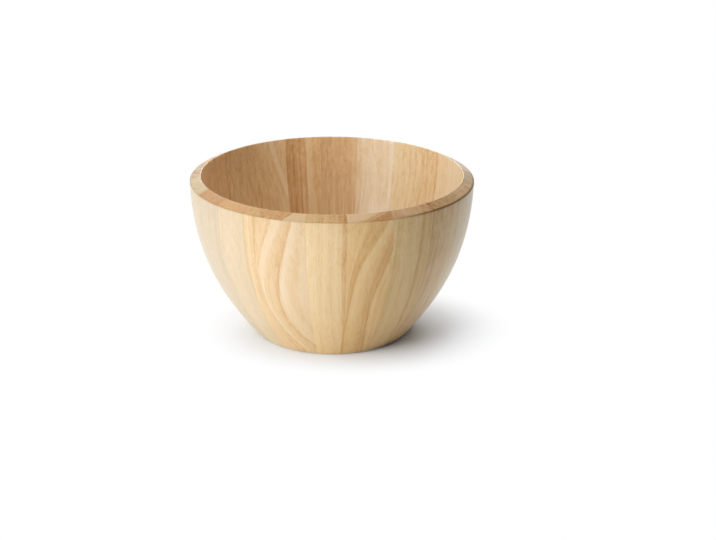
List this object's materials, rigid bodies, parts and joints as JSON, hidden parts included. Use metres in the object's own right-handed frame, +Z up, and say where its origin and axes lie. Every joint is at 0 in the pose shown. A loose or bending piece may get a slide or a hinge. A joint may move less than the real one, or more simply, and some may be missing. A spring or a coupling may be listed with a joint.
{
  "type": "wooden bowl",
  "caption": "Round wooden serving bowl of upright staves glued edge to edge, with flared curving walls, a rim bevelled outwards and a drop-in board floor on a ledge at the foot.",
  "frame": {"origin": "centre of the foot, on the surface that the bowl stands on", "axes": "+Z up along the turning axis, -Y towards the side that the picture shows as the front, +X to that view's right"},
  "size_m": [0.2499, 0.2498, 0.1446],
  "materials": {
    "wood_cream": "satin varnish",
    "wood_honey": "satin varnish",
    "wood_tan": "satin varnish",
    "wood_brown": "satin varnish"
  },
  "bodies": {
    "root": {"stave_01": "wood_honey", "stave_02": "wood_cream", "stave_03": "wood_honey", "stave_04": "wood_honey", "stave_05": "wood_honey", "stave_06": "wood_cream", "stave_07": "wood_cream", "stave_08": "wood_tan", "stave_09": "wood_honey", "stave_10": "wood_cream", "stave_11": "wood_tan", "stave_12": "wood_brown", "stave_13": "wood_tan", "stave_14": "wood_brown", "stave_15": "wood_honey", "stave_16": "wood_honey", "stave_17": "wood_cream", "stave_18": "wood_tan", "stave_19": "wood_cream", "stave_20": "wood_honey", "floor_board_left": "wood_honey", "floor_board_centre": "wood_cream", "floor_board_right": "wood_tan"}
  },
  "joints": []
}
